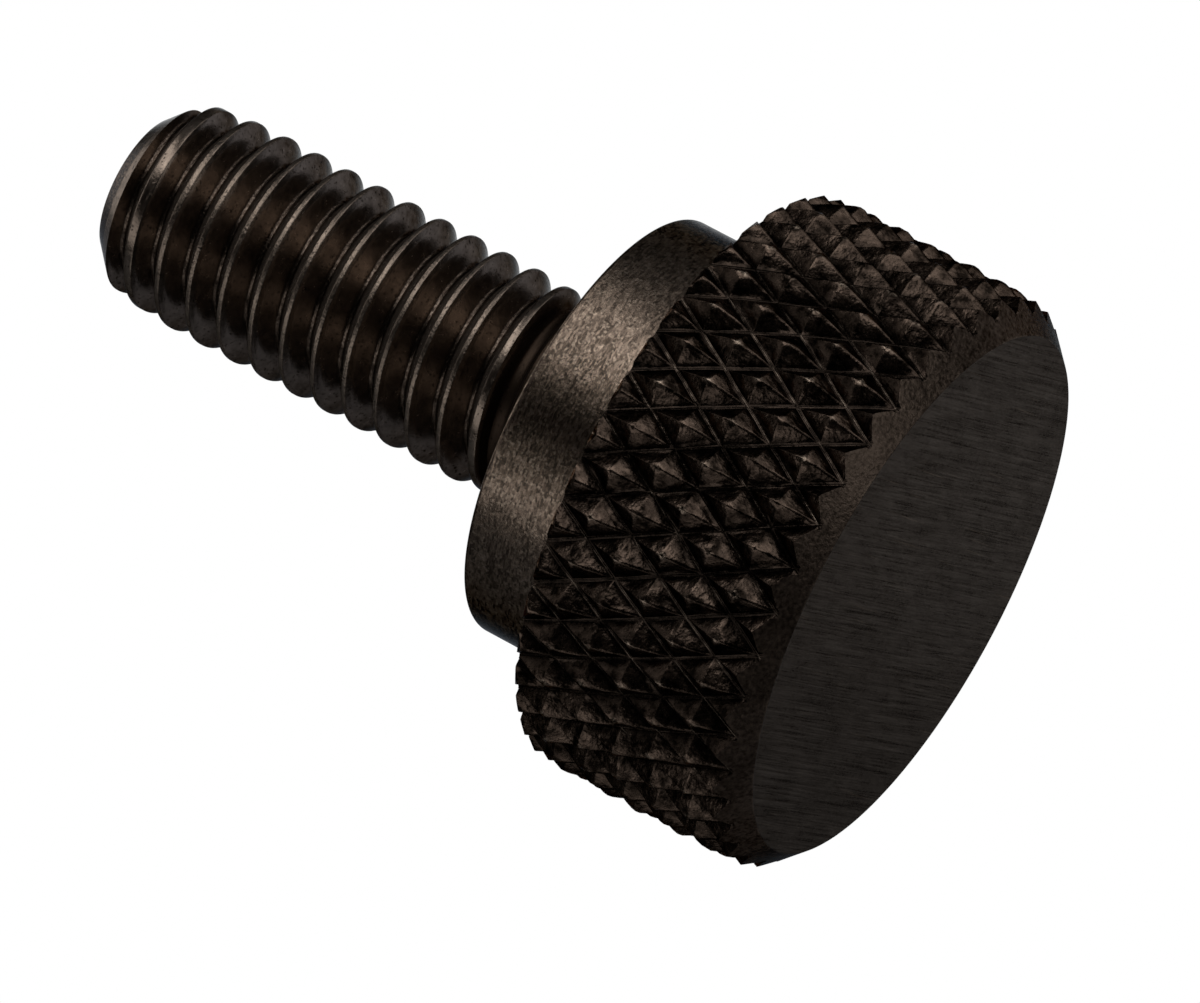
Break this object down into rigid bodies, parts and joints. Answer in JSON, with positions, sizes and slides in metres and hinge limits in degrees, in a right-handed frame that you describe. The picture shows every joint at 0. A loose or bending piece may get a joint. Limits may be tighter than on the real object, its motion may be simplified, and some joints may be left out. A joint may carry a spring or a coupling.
{
  "type": "thumb screw",
  "caption": "Turned steel thumb screw with a diamond-knurled round head, a plain collar, a short neck and a metric thread with a chamfered tip.",
  "frame": {"origin": "on the screw's axis, in the plane of the head's flat end face, which the screw stands on", "axes": "+Z along the screw's axis from the end face to the tip, +X and +Y across it"},
  "size_m": [0.0166, 0.0166, 0.0244],
  "materials": {
    "black_steel": "blackened"
  },
  "bodies": {
    "root": {"thumb_screw": "black_steel"}
  },
  "joints": []
}
